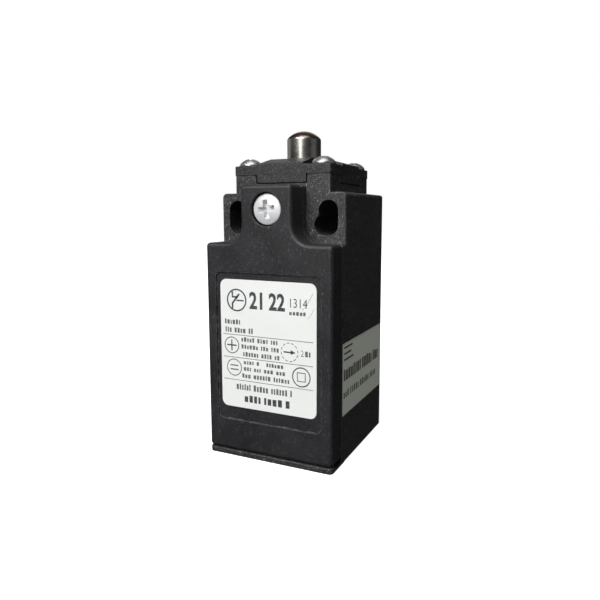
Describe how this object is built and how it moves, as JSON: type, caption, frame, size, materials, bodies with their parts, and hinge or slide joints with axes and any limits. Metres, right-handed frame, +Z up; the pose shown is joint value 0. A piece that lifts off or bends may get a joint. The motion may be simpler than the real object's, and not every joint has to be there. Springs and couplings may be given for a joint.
{
  "type": "plunger limit switch",
  "caption": "Compact moulded limit switch with a short domed metal plunger on a square screwed-down head, slotted mounting ears, a one-screw front cover and a threaded conduit entry below.",
  "frame": {"origin": "middle of the underside, where the conduit enters, at half the width and half the depth", "axes": "+Z up along the plunger, +Y towards the mounting face, -Y towards the cover, +X to the right seen from the front"},
  "size_m": [0.03, 0.032, 0.0722],
  "materials": {
    "moulded_housing": "glass-fibre filled, fine satin grain",
    "moulded_head": "glass-fibre filled, fine satin grain",
    "moulded_cover": "fine matte spark-eroded grain",
    "seal_rubber": "matte",
    "zinc_screw": "bright zinc plate",
    "cover_screw_zinc": "bright zinc plate",
    "bush_brass": "turned",
    "spring_steel": "drawn wire",
    "plunger_steel": "turned stainless, softly polished",
    "terminal_brass": "stamped",
    "contact_silver": "silver alloy",
    "contact_block_plastic": "moulded",
    "contact_cap_plastic": "moulded",
    "carrier_plastic": "moulded",
    "retainer_nylon": "natural nylon",
    "front_label_print": "laminated foil label",
    "side_label_print": "laminated foil label"
  },
  "bodies": {
    "switch_body": {"housing": "moulded_housing", "head_block": "moulded_head", "head_gasket": "seal_rubber", "head_screws": "zinc_screw", "guide_bush": "bush_brass", "plunger_seal": "seal_rubber", "seal_washer": "spring_steel", "cover_insert": "bush_brass", "side_label": "side_label_print", "contact_base": "contact_block_plastic", "contact_cap": "contact_cap_plastic", "block_screws": "zinc_screw", "break_terminals": "terminal_brass", "make_terminals": "terminal_brass", "fixed_tips": "contact_silver", "clamp_screws": "zinc_screw", "clamp_plates": "zinc_screw", "carrier_spring": "spring_steel"},
    "plunger": {"plunger": "plunger_steel", "plunger_spring": "spring_steel"},
    "contact_carrier": {"contact_carrier": "carrier_plastic", "break_bridge_spring": "spring_steel", "make_bridge_spring": "spring_steel"},
    "break_bridge": {"break_bridge": "terminal_brass", "break_bridge_tips": "contact_silver"},
    "make_bridge": {"make_bridge": "terminal_brass", "make_bridge_tips": "contact_silver"},
    "cover": {"front_cover": "moulded_cover", "front_label": "front_label_print", "cover_gasket": "seal_rubber", "cover_screw": "cover_screw_zinc", "screw_retainer": "retainer_nylon"}
  },
  "joints": [
    {"name": "plunger_press", "type": "slide", "parent": "switch_body", "child": "plunger", "axis": [0, 0, -1], "range_m": [0, 0.005], "stiffness_N_per_m": 900, "springref_m": -0.004, "deforming": ["plunger_spring"]},
    {"name": "carrier_slide", "type": "slide", "parent": "switch_body", "child": "contact_carrier", "axis": [0, 0, -1], "range_m": [0, 0.005], "deforming": ["carrier_spring"]},
    {"name": "break_bridge_slide", "type": "slide", "parent": "switch_body", "child": "break_bridge", "axis": [0, 0, -1], "range_m": [0, 0.0024], "deforming": ["break_bridge_spring"]},
    {"name": "make_bridge_slide", "type": "slide", "parent": "switch_body", "child": "make_bridge", "axis": [0, 0, -1], "range_m": [0, 0.0024], "deforming": ["make_bridge_spring"]},
    {"name": "cover_tilt", "type": "hinge", "parent": "switch_body", "child": "cover", "pos_m": [0, -0.0155, 0.0019], "axis": [1, 0, 0], "range_deg": [0, 35]}
  ],
  "couplings": [
    {"joint": "carrier_slide", "follows": "plunger_press", "ratio": 1},
    {"joint": "break_bridge_slide", "follows": "plunger_press", "ratio": 0.48},
    {"joint": "make_bridge_slide", "follows": "plunger_press", "ratio": 0.48}
  ]
}
